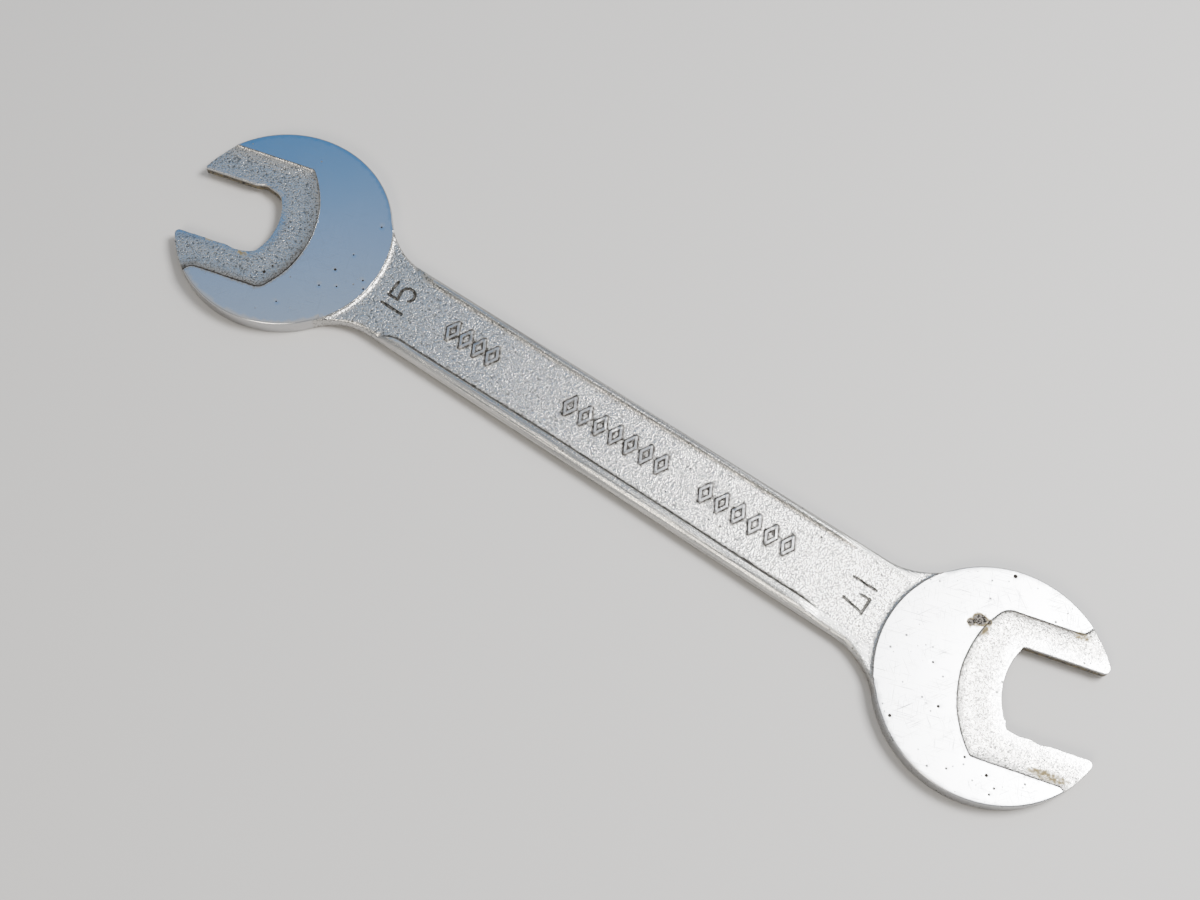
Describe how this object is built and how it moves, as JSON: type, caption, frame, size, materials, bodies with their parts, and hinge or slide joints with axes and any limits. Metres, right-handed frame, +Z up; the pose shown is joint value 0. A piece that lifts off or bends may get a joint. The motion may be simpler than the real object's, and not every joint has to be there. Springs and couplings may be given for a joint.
{
  "type": "double open-ended cone wrench",
  "caption": "Flat forged wrench with a thin open jaw at each end, sunk bands round the jaws and a panelled handle, for narrow hub-cone flats.",
  "frame": {"origin": "on the surface that the wrench lies on, under the middle of its bounding box", "axes": "+X along the handle from the 15 mm head to the 17 mm head, +Z up through the thickness, +Y across the handle"},
  "size_m": [0.2112, 0.046, 0.0038],
  "materials": {
    "satin_chrome": "satin chrome plate: ground smooth on the two head faces, sandblasted grain on the handle and the jaw bands"
  },
  "bodies": {
    "root": {"wrench_body": "satin_chrome"}
  },
  "joints": []
}
